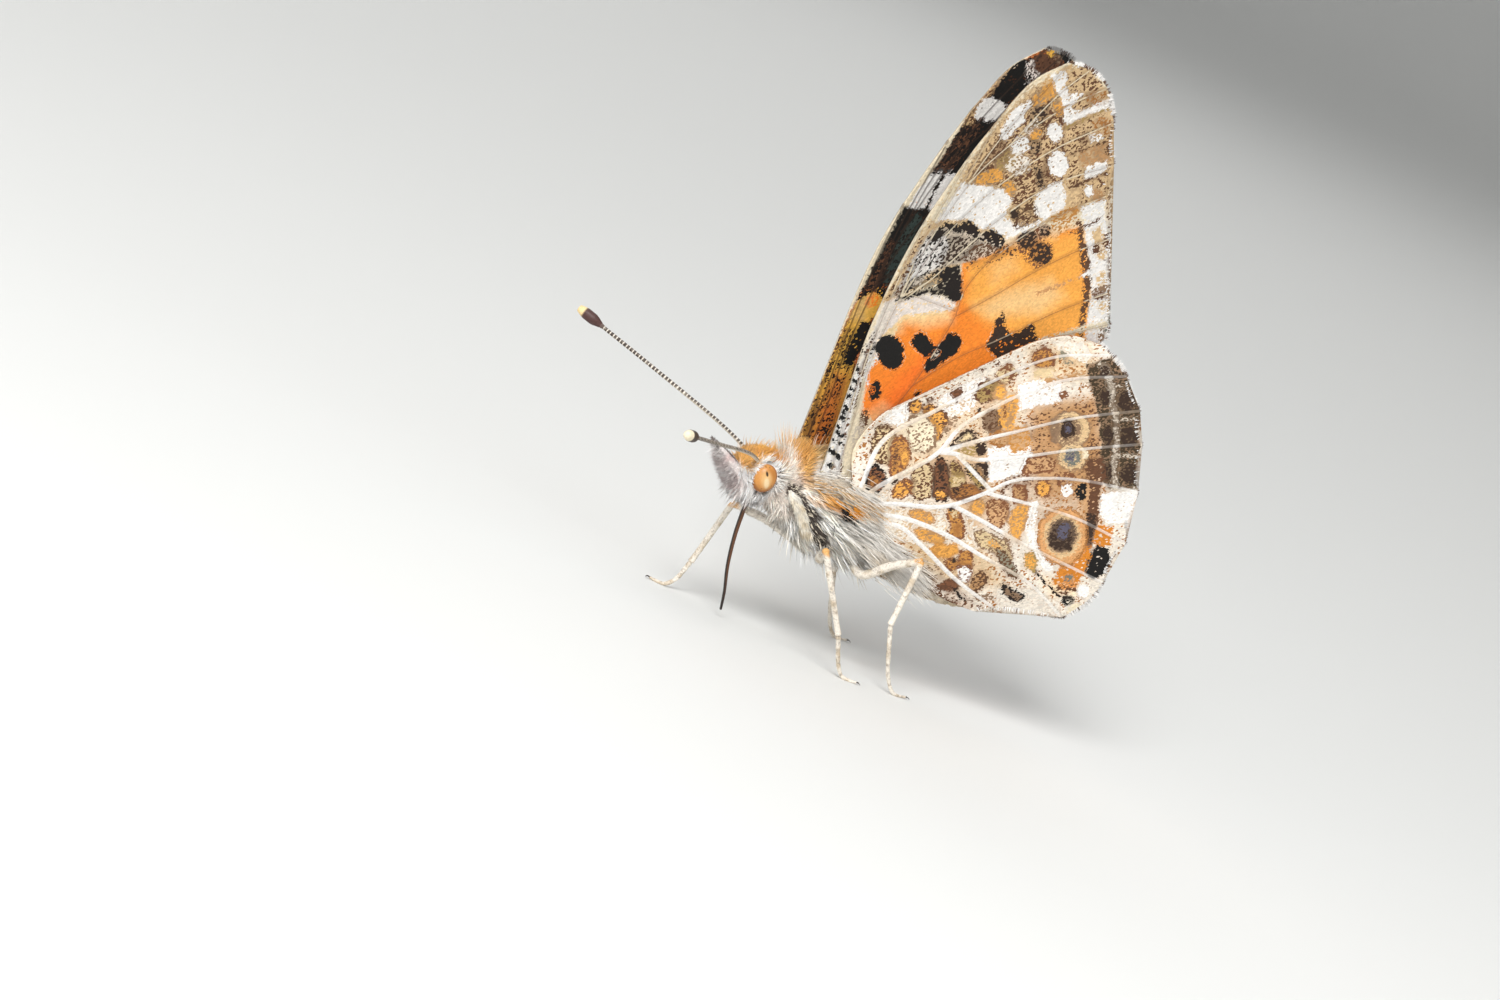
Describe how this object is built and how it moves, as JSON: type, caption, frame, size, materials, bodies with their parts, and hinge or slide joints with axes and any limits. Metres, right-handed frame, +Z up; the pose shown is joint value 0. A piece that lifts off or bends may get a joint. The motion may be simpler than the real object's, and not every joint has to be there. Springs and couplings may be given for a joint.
{
  "type": "butterfly model",
  "caption": "Life-size butterfly standing with closed, patterned wings, long clubbed antennae and a lowered tongue.",
  "frame": {"origin": "middle of the bottom of the bounding box, on the floor under the butterfly", "axes": "+Z up along the closed wings, -X towards the head, -Y to the butterfly's left"},
  "size_m": [0.0346, 0.0194, 0.0406],
  "materials": {
    "fur": "matte fur and scales",
    "forewing": "matte scales",
    "hindwing": "matte scales",
    "eye": "glossy",
    "shaft": "satin",
    "leg": "matte scales",
    "tongue": "satin"
  },
  "bodies": {
    "root": {"head": "fur", "thorax": "fur", "abdomen": "fur", "proboscis": "tongue", "eye_left": "eye", "palp_left": "fur", "antenna_left": "shaft", "foreleg_left": "leg", "forewing_left": "forewing", "hindwing_left": "hindwing", "eye_right": "eye", "palp_right": "fur", "antenna_right": "shaft", "foreleg_right": "leg", "forewing_right": "forewing", "hindwing_right": "hindwing", "femur_mid_left": "leg", "tibia_mid_left": "leg", "tarsus_mid_left": "leg", "femur_mid_right": "leg", "tibia_mid_right": "leg", "tarsus_mid_right": "leg", "femur_hind_left": "leg", "tibia_hind_left": "leg", "tarsus_hind_left": "leg", "femur_hind_right": "leg", "tibia_hind_right": "leg", "tarsus_hind_right": "leg"}
  },
  "joints": []
}
